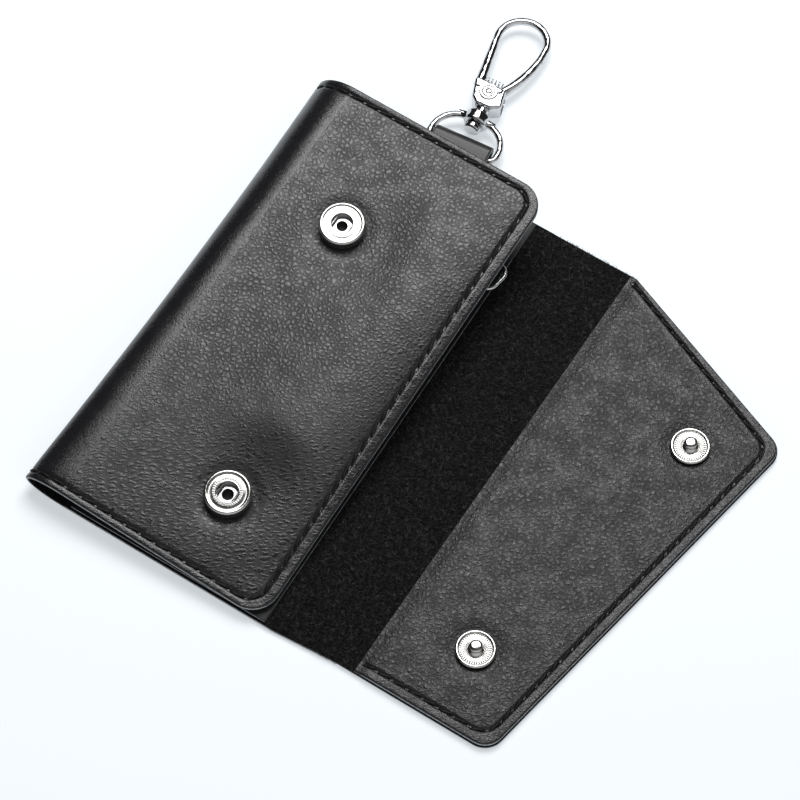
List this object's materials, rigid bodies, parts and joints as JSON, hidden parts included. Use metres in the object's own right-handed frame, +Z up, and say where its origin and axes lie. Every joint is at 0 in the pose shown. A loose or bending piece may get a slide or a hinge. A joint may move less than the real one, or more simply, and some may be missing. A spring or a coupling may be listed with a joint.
{
  "type": "key case",
  "caption": "Folding leather key case lying open: hinged cover, snap-down flap, key hooks inside and a swivel spring-gate clasp on a strap loop.",
  "frame": {"origin": "centre of the back panel's outer face under the closed case, on the table", "axes": "+X from the spine to the open flap, +Y from the plain end to the clasp end, +Z up from the table"},
  "size_m": [0.1267, 0.1533, 0.0164],
  "materials": {
    "pebbled_leather": "pebbled black leather",
    "suede": "matt black suede side of the leather",
    "lining_leather": "smooth dark lining leather",
    "strap_leather": "smooth dark leather",
    "thread": "waxed black thread",
    "chrome": "bright nickel plate",
    "steel": "plain steel"
  },
  "bodies": {
    "base": {"back_panel": "pebbled_leather", "back_lining": "lining_leather", "spine": "pebbled_leather", "fold_strip": "suede", "loop_strap": "strap_leather", "strap_rivet": "chrome", "hook_plate": "chrome", "plate_rivets": "chrome", "hook_pins": "chrome"},
    "cover": {"front_cover": "pebbled_leather", "cover_lining": "lining_leather", "cover_seam": "thread", "upper_socket": "chrome", "upper_socket_wires": "steel", "upper_socket_post": "chrome", "lower_socket": "chrome", "lower_socket_wires": "steel", "lower_socket_post": "chrome"},
    "flap": {"flap": "pebbled_leather", "flap_facing": "pebbled_leather", "flap_seam": "thread", "upper_stud": "chrome", "upper_stud_post": "chrome", "lower_stud": "chrome", "lower_stud_post": "chrome"},
    "ring": {"swivel_ring": "chrome"},
    "clasp": {"clasp_body": "chrome", "swivel_post": "chrome", "gate_pin": "chrome", "gate_spring": "steel"},
    "gate": {"clasp_gate": "chrome"},
    "hook_1": {"key_hook_1": "chrome"},
    "hook_2": {"key_hook_2": "chrome"},
    "hook_3": {"key_hook_3": "chrome"},
    "hook_4": {"key_hook_4": "chrome"},
    "hook_5": {"key_hook_5": "chrome"},
    "hook_6": {"key_hook_6": "chrome"}
  },
  "joints": [
    {"name": "cover_open", "type": "hinge", "parent": "base", "child": "cover", "pos_m": [-0.029, 0, 0.00717], "axis": [0, -0.999, -0.0453], "range_deg": [0, 179], "deforming": ["spine"]},
    {"name": "flap_fold", "type": "hinge", "parent": "base", "child": "flap", "pos_m": [0.0387, 0, 0.00653], "axis": [0, -0.999, -0.0453], "range_deg": [0, 176.8], "deforming": ["fold_strip"]},
    {"name": "ring_swing", "type": "hinge", "parent": "base", "child": "ring", "pos_m": [0.0034, 0.0609, 0.0029], "axis": [0.9949, 0.1011, 0], "range_deg": [-80, 85]},
    {"name": "clasp_swivel", "type": "hinge", "parent": "ring", "child": "clasp", "pos_m": [0.00254, 0.06936, 0.0029], "axis": [-0.1011, 0.9949, 0], "continuous": true},
    {"name": "gate_press", "type": "hinge", "parent": "clasp", "child": "gate", "pos_m": [0.00161, 0.07559, 0.0029], "axis": [0, 0, 1], "range_deg": [0, 25], "stiffness_Nm_per_rad": 0.02, "springref_deg": -20.05, "deforming": ["gate_spring"]},
    {"name": "hook_1_swing", "type": "hinge", "parent": "base", "child": "hook_1", "pos_m": [-0.0147, 0.0388, 0.0033], "axis": [0, 0, 1], "range_deg": [-15, 15]},
    {"name": "hook_2_swing", "type": "hinge", "parent": "base", "child": "hook_2", "pos_m": [-0.0101, 0.0388, 0.00491], "axis": [0, 0, 1], "range_deg": [-15, 15]},
    {"name": "hook_3_swing", "type": "hinge", "parent": "base", "child": "hook_3", "pos_m": [-0.0055, 0.0388, 0.00652], "axis": [0, 0, 1], "range_deg": [-15, 15]},
    {"name": "hook_4_swing", "type": "hinge", "parent": "base", "child": "hook_4", "pos_m": [-0.0009, 0.0388, 0.0033], "axis": [0, 0, 1], "range_deg": [-15, 15]},
    {"name": "hook_5_swing", "type": "hinge", "parent": "base", "child": "hook_5", "pos_m": [0.0037, 0.0388, 0.00491], "axis": [0, 0, 1], "range_deg": [-15, 15]},
    {"name": "hook_6_swing", "type": "hinge", "parent": "base", "child": "hook_6", "pos_m": [0.0083, 0.0388, 0.00652], "axis": [0, 0, 1], "range_deg": [-96, 8]}
  ]
}
